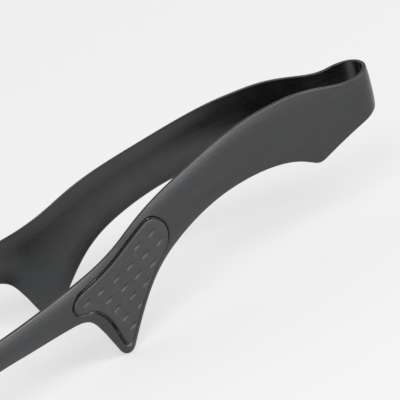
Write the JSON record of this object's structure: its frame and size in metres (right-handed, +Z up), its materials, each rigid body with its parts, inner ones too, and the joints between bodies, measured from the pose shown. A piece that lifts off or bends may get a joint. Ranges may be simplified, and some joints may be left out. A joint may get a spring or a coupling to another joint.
{
  "type": "spring hand tongs with leaf-grabbing hands",
  "caption": "Sprung steel strip tongs with finned thumb rests, inlaid dimpled grip pads and dished, fingered hands that close on leaves when the arms are squeezed.",
  "frame": {"origin": "on the floor, midway along the tool and on its plane of symmetry", "axes": "+X along the tool towards the bow, +Y towards the far arm, +Z up, parallel to the axis the bow is bent about; the tool lies on the lower edges of its fins and hands"},
  "size_m": [0.3052, 0.1182, 0.064],
  "materials": {
    "strip_steel": "satin gunmetal coating over brushed steel strip",
    "grip_pad": "matt moulded inlay with sunk dimples",
    "hand_steel": "satin gunmetal coating over pressed steel sheet",
    "rivet_steel": "satin gunmetal domed rivets, a little worn on top"
  },
  "bodies": {
    "bow": {"spring_bow": "strip_steel"},
    "near_side": {"near_arm": "strip_steel", "near_grip_pad": "grip_pad", "near_hand": "hand_steel", "near_hand_rivets": "rivet_steel"},
    "far_side": {"far_arm": "strip_steel", "far_grip_pad": "grip_pad", "far_hand": "hand_steel", "far_hand_rivets": "rivet_steel"}
  },
  "joints": [
    {"name": "near_squeeze", "type": "hinge", "parent": "bow", "child": "near_side", "pos_m": [0.13765, -0.00915, 0.048], "axis": [0, 0, -1], "range_deg": [0, 9], "stiffness_Nm_per_rad": 5},
    {"name": "far_squeeze", "type": "hinge", "parent": "bow", "child": "far_side", "pos_m": [0.13765, 0.00915, 0.048], "axis": [0, 0, 1], "range_deg": [0, 9], "stiffness_Nm_per_rad": 5}
  ],
  "couplings": [
    {"joint": "far_squeeze", "follows": "near_squeeze", "ratio": 1}
  ]
}
